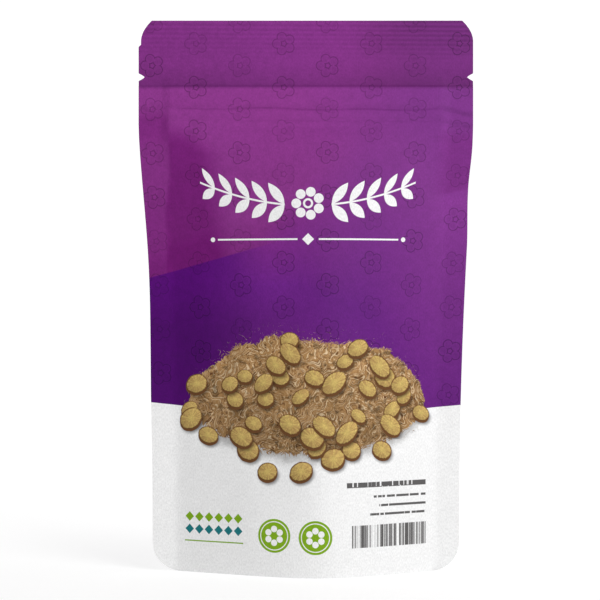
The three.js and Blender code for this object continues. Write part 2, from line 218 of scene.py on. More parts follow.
class PouchForm:
    """Where a point of the flat film goes on the standing pouch: u across from the middle line, z up."""

    def __init__(self, sizes):
        self.sizes = sizes
        self.seal_edge = POUCH_WIDTH / 2 - sizes.seal
        self.bulge = HALF_DEPTH - sizes.gusset_seat - sizes.film

    def half_depth(self, z):
        s = self.sizes
        share = np.clip(z / ZIP_LOW, 0, 1)
        below = np.maximum(ZIP_LOW - z, 0)
        swell = (1 - share**s.depth_hold) ** s.depth_close * below / (below + s.ease)
        body = s.zip_half + (self.bulge - s.zip_half) * swell
        closing = 0.6 * self.past_ledge(z) + 0.4 * smooth(z, ZIP_HIGH + 1 * MM, ZIP_HIGH + 9 * MM)
        return np.where(z < ZIP_LOW, body, s.zip_half * (1 - closing))

    def past_ledge(self, z):
        """0 below the step over the zip's upper edge and 1 above it."""
        return smooth(z, ZIP_HIGH + 0.3 * MM, ZIP_HIGH + 0.3 * MM + self.sizes.ledge)

    def weld_seat(self, z):
        return mix(self.sizes.gusset_seat, self.sizes.seat, smooth(z, GUSSET_RISE, GUSSET_RISE + 8 * MM))

    def across(self, u, z):
        inside = np.minimum(np.abs(u), self.seal_edge)
        drawn = self.sizes.draw_in * self.half_depth(z) ** 2 / self.seal_edge
        left = self.sizes.left_pull * peaked(z, *LEFT_PULL)
        right = self.sizes.right_pull * peaked(z, *RIGHT_PULL)
        edge = self.seal_edge - drawn - np.where(u < 0, left, right)
        return np.sign(u) * (inside / self.seal_edge * edge + np.abs(u) - inside)

    def roof(self, u, z):
        """Share of the full depth across a section: faces that fall from a round crest to a bent foot."""
        crest = self.sizes.crest
        foot = mix(self.sizes.low_foot, self.sizes.foot, smooth(z, 80 * MM, 160 * MM)) / self.seal_edge
        from_crest = u - self.sizes.crest_side
        face = self.seal_edge - np.sign(from_crest) * self.sizes.crest_side
        share = np.minimum(np.abs(from_crest) / face, 1)
        fall = (np.hypot(share, crest) - crest) / (math.hypot(1, crest) - crest)
        return (np.hypot(1 - fall, foot) - foot) / (np.hypot(1, foot) - foot)

    def inner_face(self, u, z):
        """Distance of a panel's inner face from the middle plane, before small relief."""
        slot = 1 - smooth(np.abs(u), SLOT_EDGE, self.seal_edge)
        depth = self.half_depth(z)
        held = np.minimum(depth, self.sizes.zip_half) * smooth(z, ZIP_LOW - 30 * MM, ZIP_LOW)
        return self.weld_seat(z) + (depth - held) * self.roof(u, z) + held * slot

    def base_weld(self, u):
        share = np.minimum(np.abs(u) / self.seal_edge, 1)
        return mix(self.sizes.base_seal, GUSSET_RISE, share**self.sizes.weld_curve)

    def gusset_ridge(self, u):
        share = np.minimum(np.abs(u) / self.seal_edge, 1)
        return mix(self.sizes.ridge, GUSSET_RISE, share**2)

    def edge(self, side, z):
        """Half width of the cut panel on one side: rounded corners and a tear notch."""
        s = self.sizes
        from_top = np.clip((POUCH_HEIGHT - z) / s.corner_height, 0, 1)
        top = s.corner_width * (1 - from_top) ** 2
        from_base = np.clip(z, 0, s.base_corner)
        base = s.base_corner - np.sqrt(np.maximum(s.base_corner**2 - (s.base_corner - from_base) ** 2, 0))
        across_notch = np.clip(np.abs(z - s.notch_height) / (s.notch_width / 2), 0, 1)
        notch = s.notch_depth * (1 - across_notch**1.4)
        step_height = POUCH_HEIGHT - s.corner_height - 1.4 * MM
        step = s.cut_step * smooth(z, step_height - 1.3 * MM, step_height)
        return POUCH_WIDTH / 2 - top - base - notch - np.where(side < 0, step, 0)

    def relief(self, u, z):
        """Small outward relief of a panel: the zip under the film, the contents, the welds and a crease."""
        over_zip = smooth(z, ZIP_LOW - 0.4 * MM, ZIP_LOW + 0.4 * MM) * (1 - self.past_ledge(z))
        inside = np.clip(1 - np.abs(u) / self.seal_edge, 0, 1)
        filled = smooth(z, 195 * MM, 150 * MM) * smooth(z, 0, 25 * MM)
        lumps = self.sizes.lump * self.soft_lumps(u, z) * np.minimum(2.5 * inside, 1) * filled
        under_crease = z - (CREASE_HEIGHT - 2.5) * MM - CREASE_SLOPE * (u - CREASE_SIDE * MM)
        ridge = self.sizes.crease * np.exp(-((under_crease / (3 * MM)) ** 2)) * smooth(u, 50 * MM, 66 * MM)
        return self.zip_tracks(u, z, over_zip) + self.puckers(u, z, inside, over_zip) + lumps + ridge

    def zip_tracks(self, u, z, over_zip):
        """The zip's two tracks under the film, and its crushed ends in the side welds."""
        crushed = self.sizes.crush * over_zip * smooth(np.abs(u), SLOT_EDGE, self.seal_edge)
        drop = 3 * MM * smooth(u, SLOT_EDGE, POUCH_WIDTH / 2)
        wander = 0.35 * MM * (np.sin(u / (19 * MM)) + np.sin(u / (7.3 * MM) + 1))
        over_upper = z - ZIP_MIDDLE + 0.9 * MM + drop + wander
        upper = smooth(over_upper, 7 * MM, 0.7 * MM) * smooth(over_upper, -0.7 * MM, 0.5 * MM)
        over_lower = over_upper + 5.6 * MM - 0.5 * wander
        lower = smooth(over_lower, 4 * MM, 0.4 * MM) * smooth(over_lower, -0.7 * MM, 0.4 * MM)
        fading = smooth(np.abs(u), self.seal_edge, SLOT_EDGE - 8 * MM)
        return crushed + self.sizes.track * (upper + 0.35 * lower) * fading

    def puckers(self, u, z, inside, over_zip):
        """Puckers where the film leaves the side welds, and the bead of melt along the welds."""
        hold = np.exp(-((inside * self.seal_edge / (9 * MM)) ** 2)) * np.minimum(inside * 40, 1)
        waves = np.sin(z / (2.6 * MM) + np.sign(u) * 0.8 + 2 * np.sin(z / (17 * MM)))
        waves = waves * hold * smooth(z, 205 * MM, 180 * MM) * smooth(z, 5 * MM, 45 * MM)
        from_bead = (np.abs(u) - self.seal_edge + 0.8 * MM) / (1.3 * MM)
        bead = 0.5 * np.exp(-(from_bead**2)) * smooth(z, 20 * MM, 60 * MM)
        return self.sizes.pucker * (waves + bead * (1 - over_zip) * (1 - self.past_ledge(z)))

    @staticmethod
    def soft_lumps(u, z):
        """Slow waves from minus to plus one, whose lengths and directions are drawn once."""
        draw = np.random.default_rng(11)
        total = np.zeros(np.broadcast(u, z).shape)
        waves = 9
        for _ in range(waves):
            turn = draw.uniform(0, math.pi)
            pitch = draw.uniform(26, 60) * MM / (2 * math.pi)
            phase = draw.uniform(0, 2 * math.pi)
            total = total + np.sin((math.cos(turn) * u + math.sin(turn) * z) / pitch + phase)
        return total / math.sqrt(waves)

    def header(self, z):
        """Backward shift of both films together above the zip."""
        return self.sizes.lean * self.past_ledge(z) * smooth(z, ZIP_HIGH + 15 * MM, ZIP_HIGH)

    def top_weld(self, u, z):
        """Outward relief of the ribs and the line that the top weld presses into both films."""
        s = self.sizes
        ribs = s.rib_depth * np.cos(2 * math.pi * (z + s.rib_slant * u) / s.rib_pitch)
        line = np.exp(-(((z - GROOVE * MM) / (0.35 * MM)) ** 2))
        return ribs * smooth(z / MM, *RIBS) - s.groove * line

    def trimmed(self, u, z):
        """Flat places across the film, closed up in the welds so that the outermost follow the cut."""
        start = self.seal_edge - np.where(z < self.sizes.base_corner, 8 * MM, 0)
        beyond = np.clip((np.abs(u) - start) / (POUCH_WIDTH / 2 - start), 0, 1)
        cut = self.edge(np.sign(u), z) - start
        return np.where(beyond > 0, np.sign(u) * (start + beyond * cut), u)

    def panel(self, side, u, z):
        """Outer and inner points of the front panel (side -1) or the back panel (side 1)."""
        u = self.trimmed(u, z)
        inner = self.inner_face(u, z) + self.relief(u, z)
        x = self.across(u, z)
        shift = self.header(z) + 0 * u
        outer = side * (inner + self.sizes.film + self.top_weld(u, z)) + shift
        height = z + 0 * u
        return np.stack([x, outer, height], -1), np.stack([x, side * inner + shift, height], -1)

    def gusset(self, u, beneath):
        """Points of the gusset's film, beneath its upper face: front leaf, spread arch, then back leaf."""
        glue = 0.1 * MM
        leaf_steps, arch_steps = 14, 40
        weld = self.base_weld(u)
        leaf_z = np.linspace(0, 1, leaf_steps + 1)[:-1, None] * weld
        place = self.trimmed(u, leaf_z)
        leaf_y = self.inner_face(place, leaf_z) - glue - beneath
        leaf_x = self.across(place, leaf_z)
        front = np.stack([leaf_x, -leaf_y, leaf_z], -1)
        back = np.stack([leaf_x, leaf_y, leaf_z], -1)[::-1]
        share = np.linspace(-1, 1, arch_steps + 1)[:, None]
        half = self.inner_face(u, weld) - glue - beneath
        arch_z = mix(weld, self.gusset_ridge(u), 1 - np.abs(share) ** 1.7) - beneath
        arch_x = self.across(self.trimmed(u, weld), weld) + 0 * share
        arch = np.stack([arch_x, share * half, arch_z], -1)
        return np.concatenate([front, arch, back])


def stations(*spans):
    """Places from the start of the first span to the end of the last, each span in equal steps."""
    places = [np.array([spans[0][0]])]
    for low, high, steps in spans:
        places.append(np.linspace(low, high, steps + 1)[1:])
    return np.concatenate(places)


def film_columns(form, body_steps):
    end_steps = 8
    half = stations(
        (0, SLOT_EDGE, body_steps),
        (SLOT_EDGE, form.seal_edge, end_steps),
        (form.seal_edge, POUCH_WIDTH / 2, end_steps),
    )
    return np.concatenate([-half[:0:-1], half])


def film_rows(sizes):
    """Heights of a panel's rows, close together round the corners, the notches and the zip."""
    corner = sizes.base_corner * (1 - np.cos(np.linspace(0, math.pi / 2, 15)))
    filled_top, under_zip, over_zip = 190 * MM, ZIP_LOW - 1 * MM, ZIP_HIGH + 3 * MM
    between = stations(
        (corner[-1], GUSSET_RISE, 20),
        (GUSSET_RISE, filled_top, 96),
        (filled_top, under_zip, 16),
        (under_zip, over_zip, 68),
        (over_zip, POUCH_HEIGHT, 108),
    )
    return np.concatenate([corner[:-1], between])


# Meshes


def grid_faces(rows, columns, start=0):
    row, column = np.mgrid[0 : rows - 1, 0 : columns - 1]
    corner = start + row * columns + column
    return np.stack([corner, corner + 1, corner + columns + 1, corner + columns], -1).reshape(-1, 4)


def rim_loop(rows, columns):
    """Indices of a grid's border, once round."""
    index = np.arange(rows * columns).reshape(rows, columns)
    return np.concatenate([index[0, :-1], index[:-1, -1], index[-1, :0:-1], index[:0:-1, 0]])


def closed_film(name, outer, inner, flat, turned):
    """A closed sheet between two grids of points. flat holds each grid point's place on the flat film."""
    rows, columns = outer.shape[:2]
    count = rows * columns
    points = np.concatenate([outer.reshape(-1, 3), inner.reshape(-1, 3)])
    rim = rim_loop(rows, columns)
    after = np.roll(rim, -1)
    faces = np.concatenate([
        grid_faces(rows, columns),
        grid_faces(rows, columns, count)[:, ::-1],
        np.stack([rim, rim + count, after + count, after], -1),
    ])
    if turned:
        faces = faces[:, ::-1]
    mesh = bpy.data.meshes.new(name)
    mesh.vertices.add(len(points))
    mesh.vertices.foreach_set("co", points.astype(np.float32).ravel())
    mesh.loops.add(faces.size)
    mesh.loops.foreach_set("vertex_index", faces.astype(np.int32).ravel())
    mesh.polygons.add(len(faces))
    mesh.polygons.foreach_set("loop_start", np.arange(0, faces.size, 4, dtype=np.int32))
    mesh.polygons.foreach_set("use_smooth", np.ones(len(faces), dtype=bool))
    mesh.update(calc_edges=True)
    mesh.validate()
    on_film = np.concatenate([flat.reshape(-1, 2), flat.reshape(-1, 2)])[faces.ravel()]
    add_map(mesh, "film", on_film)
    add_map(mesh, "OFBake", bake_places(flat.reshape(-1, 2), faces, count))
    mesh.set_sharp_from_angle(angle=SHARP_ANGLE)
    piece = bpy.data.objects.new(name, mesh)
    bpy.context.scene.collection.objects.link(piece)
    return piece


def add_map(mesh, name, places):
    layer = mesh.uv_layers.new(name=name)
    layer.uv.foreach_set("vector", places.astype(np.float32).ravel())


def bake_places(flat, faces, count):
    """A map where the outer face fills most of the square, the inner face a column and the rim a strip."""
    margin, height = 0.005, 0.99
    low = flat.min(0)
    unit = (flat - low) / (flat.max(0) - low)
    outer = unit * (0.70, height) + (margin, margin)
    inner = unit * (0.26, height) + (0.715, margin)
    places = np.concatenate([outer, inner])[faces]
    on_rim = (faces.min(1) < count) & (faces.max(1) >= count)
    rim_count = int(on_rim.sum())
    along = (np.arange(rim_count)[:, None] + np.array([0, 0, 1, 1])) / max(rim_count, 1)
    through = np.tile(np.array([0, 1, 1, 0]), (rim_count, 1))
    places[on_rim] = np.stack([0.98 + 0.015 * through, margin + height * along], -1)
    return places.reshape(-1, 2)


def arc_across(points):
    """Distance along each row of a grid of points, from its middle column."""
    steps = np.linalg.norm(np.diff(points, axis=1), axis=2)
    along = np.concatenate([np.zeros((len(points), 1)), np.cumsum(steps, 1)], 1)
    middle = points.shape[1] // 2
    return along - along[:, middle : middle + 1]


# Print, with light and shade painted into it: numbers worked out at each point of the film


def sum_of(operation):
    """A mark's method that works out one sum of the mark and what is given with it."""
    return lambda mark, *others: mark.work(operation, *others)


class Mark:
    """A number in a shader tree. Sums of marks make more marks."""

    def __init__(self, socket):
        self.socket = socket
        self.tree = socket.id_data

    def work(self, operation, *others, clamp=False):
        node = self.tree.nodes.new("ShaderNodeMath")
        node.operation = operation
        node.use_clamp = clamp
        for place, value in zip(node.inputs, (self, *others)):
            feed(place, value)
        return Mark(node.outputs[0])

    __add__ = __radd__ = sum_of("ADD")
    __mul__ = __rmul__ = sum_of("MULTIPLY")
    __sub__ = sum_of("SUBTRACT")
    __truediv__ = sum_of("DIVIDE")
    __abs__ = sum_of("ABSOLUTE")
    least = sum_of("MINIMUM")
    most = sum_of("MAXIMUM")
    floor = sum_of("FLOOR")
    fraction = sum_of("FRACT")
    sine = sum_of("SINE")
    cosine = sum_of("COSINE")
    power = sum_of("POWER")

    def __rsub__(self, other):
        return self.work("MULTIPLY_ADD", -1.0, other)

    def held(self):
        """This mark, held between 0 and 1."""
        return self.work("ADD", 0.0, clamp=True)

    def inked(self, soft=0.12):
        """1 where this mark is above zero and 0 below, over a soft edge in millimetres."""
        return self.work("MULTIPLY_ADD", 1 / soft, 0.5, clamp=True)


def feed(place, value):
    """Link a mark or a socket to an input, or set the input to a plain value."""
    if isinstance(value, Mark):
        value = value.socket
    if isinstance(value, bpy.types.NodeSocket):
        place.id_data.links.new(value, place)
    else:
        place.default_value = value


def fill(node, values):
    """Link or set a node's inputs by their names."""
    for name, value in values.items():
        feed(node.inputs[name], value)


def reach(u, v):
    return (u * u + v * v).work("SQRT")


def turn(u, v):
    return v.work("ARCTAN2", u)


def ramp(mark, low, high):
    """The same as smooth, for marks."""
    node = mark.tree.nodes.new("ShaderNodeMapRange")
    node.interpolation_type = "SMOOTHSTEP"
    fill(node, {"Value": mark, "From Min": low, "From Max": high})
    return Mark(node.outputs["Result"])


def vector(*parts):
    node = parts[0].tree.nodes.new("ShaderNodeCombineXYZ")
    for place, value in zip(node.inputs, parts):
        feed(place, value)
    return node.outputs[0]


def split(socket, kind="ShaderNodeSeparateXYZ"):
    """The three parts of a vector, or of a colour, as marks."""
    node = socket.id_data.nodes.new(kind)
    feed(node.inputs[0], socket)
    return [Mark(part) for part in node.outputs]


def three_draws(socket):
    """The three parts of a colour that stands for three draws."""
    return split(socket, "ShaderNodeSeparateColor")


def white_noise(*parts):
    """Draws for whole places along two or three axes: a number, and a colour for three more."""
    node = parts[0].tree.nodes.new("ShaderNodeTexWhiteNoise")
    node.noise_dimensions = f"{len(parts)}D"
    feed(node.inputs["Vector"], vector(*parts))
    return Mark(node.outputs["Value"]), node.outputs["Color"]


def noise_node(place, scale, detail=2.0, rough=0.5):
    node = place.id_data.nodes.new("ShaderNodeTexNoise")
    fill(node, {"Vector": place, "Scale": scale, "Detail": detail, "Roughness": rough})
    return node


def noise(*values):
    """One number of noise_node's noise, from 0 to 1."""
    return Mark(noise_node(*values).outputs[0])


def shade(under, over, cover):
    """One colour over another, by how much the mark covers."""
    node = cover.tree.nodes.new("ShaderNodeMix")
    node.data_type = "RGBA"
    amount, lower, upper = (node.inputs[i] for i in (0, 6, 7))
    feed(amount, cover)
    for place, value in ((lower, under), (upper, over)):
        feed(place, value if isinstance(value, bpy.types.NodeSocket) else (*value, 1))
    return node.outputs[2]


def toned(paint, gain):
    """A colour made lighter or darker by a mark."""
    node = gain.tree.nodes.new("ShaderNodeVectorMath")
    node.operation = "SCALE"
    feed(node.inputs[0], paint)
    feed(node.inputs["Scale"], gain)
    return node.outputs[0]


def rosette(u, v, petals, offset, radius):
    """Above zero inside a flower of round petals set about its middle."""
    sector = 2 * math.pi / petals
    bent = ((turn(u, v) / sector).fraction() - 0.5) * sector
    far = reach(u, v)
    return radius - reach(far * bent.cosine() - offset, far * bent.sine())


def bar(u, v, left, right, low, high):
    """Above zero inside an upright box."""
    middle_u, middle_v = (left + right) / 2, (low + high) / 2
    beyond_u = (right - left) / 2 - abs(u - middle_u)
    return beyond_u.least((high - low) / 2 - abs(v - middle_v))


def left_face_shade(u, v):
    """Painted shade at the left face: deepest inside the weld, less on it, none past the shoulder."""
    shoulder = (145 - 0.95 * v).least(-20 - 0.12 * v)
    inside_weld = ramp(u - 2.9 * ramp(v, 168, 192), -70.0, -67.2)
    on_weld = (0.28 + 0.24 * ramp(v, 190, 165) + 0.28 * ramp(v, 200, 210)) * ramp(v, 224, 214)
    return ramp(u - shoulder, 7, -10) * mix(on_weld, 0.85 * ramp(v, 217, 203), inside_weld)


def upper_field(u, v, inks, edge):
    """Plum to violet, mulberry in the header, darker just over the slanted edge, with painted shade and
    light for the welds, the zip, the header and the right crease.
    """
    by_weld = ramp(u, 60, 70)
    over_crease = v - CREASE_SLOPE * (u - CREASE_SIDE) - CREASE_HEIGHT
    # Painted shade above the crease at the right edge, by the weld
    right_crease_shade = 0.27 * by_weld * ramp(over_crease, -1.5, 1.5) * ramp(v, 213, 206)
    over_edge = 0.3 * ramp(edge, -18, -2) * ramp(u, 10, -20)
    in_header = ramp(v, *LEDGE)
    field = shade(inks.plum, inks.violet, ramp(u, -20, 70))
    # Painted shade at the left face and above the right crease, and a darker plum just over the slanted
    # edge
    field = shade(field, inks.shaded_plum, left_face_shade(u, v) + right_crease_shade + over_edge)
    # Mulberry header print, dark enough to be painted shade of the step over the zip as well
    field = shade(field, inks.mulberry, in_header * (1 - 0.45 * ramp(u, 0, 70)))
    # Painted light under the zip and below the right crease; in the header, painted light in the middle and
    # painted shade at the right and low down
    right_light = 0.13 * by_weld * ramp(over_crease, 1.5, -1.5) * ramp(over_crease, -50, -5)
    zip_light = 0.06 * ramp(v, 188, 208) * ramp(u, 60, 10)
    right_header_shade = (0.15 + 0.12 * ramp(v, 242, 254)) * ramp(u, 10, 50)
    header_light = 0.06 * ramp(u, -50, -10) - right_header_shade - 0.18 * ramp(v, 245, 231)
    return toned(field, 1 + zip_light + right_light + in_header * header_light)


def lower_field(u, v, inks):
    """Indigo to amethyst, a little lighter at the upper left."""
    field = shade(inks.indigo, inks.amethyst, ramp(u, -58, -5))
    return toned(field, 1 + 0.33 * ramp(v, 112, 142) * ramp(u, 10, -20))


def colour_field(u, v, inks):
    """Plum and violet above, and a deeper field below a slanted edge that fades to the right."""
    edge = 160.4 + 0.263 * u - 60 * ramp(u, 25, 75) - v
    faded = (edge / (14 + 92 * ramp(u, -45, 60)) + 0.5 * ramp(u, -45, 0)).held()
    below = mix(faded, edge.inked(0.6), ramp(u, -8, -40))
    return shade(upper_field(u, v, inks, edge), lower_field(u, v, inks), below)


def flower_lattice(u, v):
    """Line flowers on a half-drop lattice, each a little stronger or fainter."""
    pitch = 21.0
    column = (u / pitch + 40).floor()
    local_u = ((u / pitch).fraction() - 0.5) * pitch
    dropped = v / pitch + (column * 0.5).fraction()
    local_v = (dropped.fraction() - 0.5) * pitch
    strength, _ = white_noise(column, dropped.floor())
    inside = rosette(local_u, local_v, petals=5, offset=3.3, radius=2.2)
    outline = (0.22 - abs(inside)).inked(0.2)
    heart = (0.2 - abs(reach(local_u, local_v) - 1.25)).inked(0.2)
    tint = ramp(inside, 0.0, 1.6) * 0.22
    return outline.most(heart).most(tint) * (0.55 + 0.45 * strength)


def laurel(u, v):
    """A white laurel with a flower in its middle and a fine rule with a diamond beneath."""
    middle, start, finish, pitch = 1, 11.0, 52.0, 8.2
    stem_height, flower_height, rule_height = 174, 175, 158.0
    stem_half, eye_half, rule_half = 0.45, 0.5, 0.4
    leaf_rise, leaf_half, leaf_width = 4.4, 5.6, 2.2
    across = u - middle
    beside = abs(across)
    rise = v - stem_height - 0.0042 * beside * beside
    within = (beside - start - 0.1).least(finish - beside)
    leaves = (stem_half - abs(rise)).least(within)
    from_start = (beside - start) / pitch
    along = (from_start.fraction() - 0.5) * pitch
    size = 1.08 - 0.06 * from_start.floor()
    lean = math.radians(50)
    for side in (1, -1):
        over = side * rise - leaf_rise * size
        share = (along * math.cos(lean) + over * math.sin(lean)) / (leaf_half * size)
        aside = abs(over * math.cos(lean) - along * math.sin(lean))
        leaf = leaf_width * size * (1 - share * share) - aside
        leaves = leaves.most(leaf.least(within))
    flower = rosette(across, v - flower_height, petals=7, offset=5.6, radius=2.3)
    eye = eye_half - abs(reach(across, v - flower_height) - 1.9)
    rule = bar(beside, v, 5, 44, rule_height - rule_half, rule_height + rule_half)
    diamond = 2.8 - beside - abs(v - rule_height)
    stud = 1.1 - reach(beside - 46.5, v - rule_height)
    return leaves.most(flower).most(eye).most(rule).most(diamond).most(stud).inked(0.15)


class RootSlices:
    """One layer of round root slices that lie apart from each other within a lens across the print."""

    def __init__(self, u, v, layer):
        pitch, kept_share = 17.0, 0.6
        lens_width, lens_height, lens_middle = 67, 33.5, 79
        shift = 0.37 * layer * pitch
        row = (v + 1.7 * shift) / pitch
        column = (u + shift) / pitch + 0.5 * (0.5 * row.floor()).fraction()
        self.tone, draws = white_noise(column.floor(), row.floor(), 3.0 + layer)
        one, two, three = three_draws(draws)
        self.off_u = (column.fraction() - 0.5 - 0.2 * (one - 0.3)) * pitch
        self.off_v = (row.fraction() - 0.5 - 0.2 * (two - 0.5)) * pitch
        self.squash = 0.74 + 0.24 * self.tone
        self.slant = (two - 0.5) * 0.9
        self.face_v = (self.off_v - self.off_u * self.slant) / self.squash
        self.far = reach(self.off_u, self.face_v)
        self.spoke = vector(self.off_u / self.far, self.face_v / self.far, 9 * self.tone)
        self.radius = (4.0 + 2.2 * three) * (0.92 + 0.16 * noise(self.spoke, 1.6, 2.0))
        share = (u - self.off_u) / lens_width
        within_lens = lens_height * (1 - share * share) - abs(v - self.off_v - lens_middle)
        self.kept = within_lens.least(kept_share - one).work("GREATER_THAN", 0.0)

    def inside(self, down=0.0, aside=0.0):
        """Above zero inside the slices' outlines, moved down and aside."""
        v = self.off_v + down
        u = self.off_u - aside
        return self.radius - reach(u + v * self.slant * 0.3, (v - u * self.slant) / self.squash)

    def cover(self, down=0.0):
        return self.inside(down).inked(0.25) * self.kept

    def shadow(self, down, aside, soft):
        return ramp(self.inside(down, aside), -soft, soft) * self.kept

    def colour(self, inks):
        share = self.far / self.radius
        rays = noise(self.spoke, 6.0, 3.0, 0.7)
        grain = noise(vector(self.off_u, self.face_v, 20 * self.tone), 1.1, 3.0, 0.7)
        dry = ramp(rays, 0.36, 0.64) * ramp(share, 0.05, 0.5) * 0.8
        ring = ramp(abs(share - 0.66), 0.07, 0.02) * 0.45
        darker = ramp(self.tone, 0.5, 0.95) * 0.7
        face = shade(inks.flesh, inks.tan, dry.most(ring).most(darker))
        face = shade(face, inks.bark, ramp(share + 0.3 * (grain - 0.5), 0.86, 0.95))
        return toned(face, 0.52 + 0.95 * grain + 0.16 * (self.off_v + self.off_u) / self.radius)


def shreds(u, v, angle, seed):
    """High on short shreds that all run about one way."""
    along = u * math.cos(angle) + v * math.sin(angle)
    aside = v * math.cos(angle) - u * math.sin(angle)
    return noise(vector(along * 0.24, aside * 1.15, seed), 1.0, 2.0, 0.6)


def swirled(u, v, scale, size):
    """Places moved about by slow noise, so that what is drawn there bends this way and that."""
    node = noise_node(vector(u, v), scale, 1.0)
    aside, along, _ = three_draws(node.outputs["Color"])
    return u + size * (aside - 0.5), v + size * (along - 0.5)


def root_bed(under, u, v, inks):
    """A low drift of shredded root with a loose edge, and a soft shadow along its foot."""
    middle, half_width, tip = 1, 62, 57
    top, foot, height, shadow_height = 32, 24, 81, 78
    share = (u - middle) / half_width
    arch = (1 - share * share).most(0.0).power(0.65)
    ragged = 8.0 * (noise(vector(u, v), 0.15, 5.0, 0.75) - 0.5)
    skyline = 26.0 * (noise(vector(u, 3.0), 0.035, 2.0) - 0.5)
    past_tip = (abs(u - middle) - tip).most(0.0)

    def within(start):
        over = v - start
        return ((top + skyline) * arch - over).least(foot * arch + over) + ragged - past_tip

    bed = within(height)
    bent_u, bent_v = swirled(u, v, scale=0.11, size=34.0)
    fine = shreds(bent_u, bent_v, angle=0.3, seed=1.0)
    loose = ramp(shreds(bent_u, bent_v, angle=2.1, seed=21.0), 0.66, 0.68) * ramp(bed, -9.0, -1.0)
    paint = shade(inks.bark, inks.tan, ramp(fine, 0.38, 0.52))
    for angle, seed, ink in ((1.4, 5.0, inks.husk), (2.5, 9.0, inks.tan), (0.8, 13.0, inks.straw)):
        paint = shade(paint, ink, ramp(shreds(bent_u, bent_v, angle, seed), 0.55, 0.61))
    clumps = noise(vector(u, v, 2.0), 0.13, 3.0, 0.6)
    pockets = ramp(noise(vector(u, v, 8.0), 0.34, 2.0), 0.46, 0.34)
    paint = toned(paint, (0.30 + 1.15 * clumps + 0.007 * (v - shadow_height)) * (1 - 0.45 * pockets))
    ground = shade(under, BED_SHADOW, ramp(within(shadow_height), -4.0, 3.0) * 0.5)
    return shade(ground, paint, (bed + 7.0 * (fine - 0.5)).inked(0.5).most(loose))


def slice_picture(under, u, v, inks):
    """Cut root slices strewn over a drift of finer root."""
    paint = root_bed(under, u, v, inks)
    for layer in range(3):
        slices = RootSlices(u, v, layer)
        paint = shade(paint, SLICE_SHADOW, slices.shadow(down=1.9, aside=0.7, soft=1.5) * 0.75)
        paint = shade(paint, inks.bark, slices.cover(down=1.1))
        paint = shade(paint, slices.colour(inks), slices.cover())
    return paint


def badges(under, u, v, inks):
    """Two round green badges, each with a white ring and flower."""
    disc_radius, ring_radius, ring_half = 7.9, 6.6, 0.22
    paint = under
    for middle_u, middle_v in ((-15.4, 19.3), (4.4, 18.8)):
        from_middle = reach(u - middle_u, v - middle_v)
        ring = (ring_half - abs(from_middle - ring_radius)).inked()
        flower = rosette(u - middle_u, v - middle_v, petals=6, offset=3.2, radius=1.5).inked()
        paint = shade(paint, inks.green, (disc_radius - from_middle).inked())
        paint = shade(paint, inks.paper, ring.most(flower))
    return paint


def diamond_strip(under, u, v, inks):
    """Two rows of small green and teal diamonds over a fine rule."""
    pitch, half, rule_half = 5.2, 2.3, 0.3
    upper_height, lower_height, rule_height = 26.5, 20.6, 15.0
    across = half - abs(((u / pitch).fraction() - 0.5) * pitch)
    upper = (across - abs(v - upper_height)).inked()
    lower = (across - abs(v - lower_height)).inked()
    rule = (rule_half - abs(v - rule_height)).inked()
    within = bar(u, v, left=-12 * pitch, right=-6 * pitch, low=10, high=32).inked(0.02)
    paint = under
    for ink, shape in ((inks.green, upper), (inks.teal, lower), (inks.green, rule)):
        paint = shade(paint, ink, shape * within)
    return paint


def ruled_notes(under, u, v, inks):
    """Plain ruled lines and a block of upright stripes, flush at the right."""
    right, line_half = 62.5, 0.55
    lines = bar(u, v, 19.5, right, low=41.6, high=44.0)
    for left, height in ((33.5, 37.2), (36.5, 33.0), (31.5, 28.9)):
        lines = lines.most(bar(u, v, left, right, height - line_half, height + line_half))
    broken = noise(vector(u, (v / 4.2).floor() * 7.3), 0.9, 0.0)
    dashes = lines.inked() * ramp(broken, 0.30, 0.36)
    stripes = noise(vector(u, 3.7), 1.15, 3.0, 0.8)
    block = bar(u, v, 22.0, right, low=13.5, high=24.0).inked() * ramp(stripes, 0.47, 0.50)
    return shade(under, inks.ink, dashes.most(block) * 0.9)


def label_panel(under, u, v, inks):
    """A blank pale panel with round corners and fine ruled lines on the back."""
    half_width, low, high = 46, 98, 190
    radius, margin, pitch, rule_half = 4.0, 8, 6.4, 0.16
    inset_u = half_width - abs(u)
    inset_v = (high - low) / 2 - abs(v - (low + high) / 2)
    card = radius - reach((radius - inset_u).most(0.0), (radius - inset_v).most(0.0))
    from_rule = ((v / pitch).fraction() - 0.5) * pitch
    ruled = bar(u, v, margin - half_width, half_width - margin, low + margin, high - 6)
    rules = (rule_half - abs(from_rule)).least(ruled).inked()
    paint = shade(under, inks.paper, card.inked())
    return shade(paint, inks.amethyst, rules * 0.7)


def zip_track_shade(u, v):
    """Painted shade under the zip's two tracks, patchy along them, stronger and bent down at the right end.
    """
    bend = 3.2 * ramp(u, 63, 80)
    wander = 1.2 * (noise(vector(u, 0.0), 0.03, 2.0) - 0.5) + v + bend
    upper = ramp(wander, 219.3, 220.8) * ramp(wander, 223.4, 221.4)
    lower = ramp(wander, 213.6, 215.2) * ramp(wander, 217.6, 215.8)
    patchy = ramp(noise(vector(u, v, 5.0), 0.05, 2.0), 0.3, 0.7)
    return (0.07 * upper + 0.04 * lower) * (0.5 + patchy) * (1 + 0.8 * ramp(u, 60, 68))


def rib_shading(u, v, sizes):
    """Painted light and shade of the top weld's ribs, paler on their crests, from minus to plus one and
    fading downwards.
    """
    turns = (v + sizes.rib_slant * u) / (sizes.rib_pitch / MM)
    return (turns * (2 * math.pi)).cosine() * ramp(v, *RIBS)


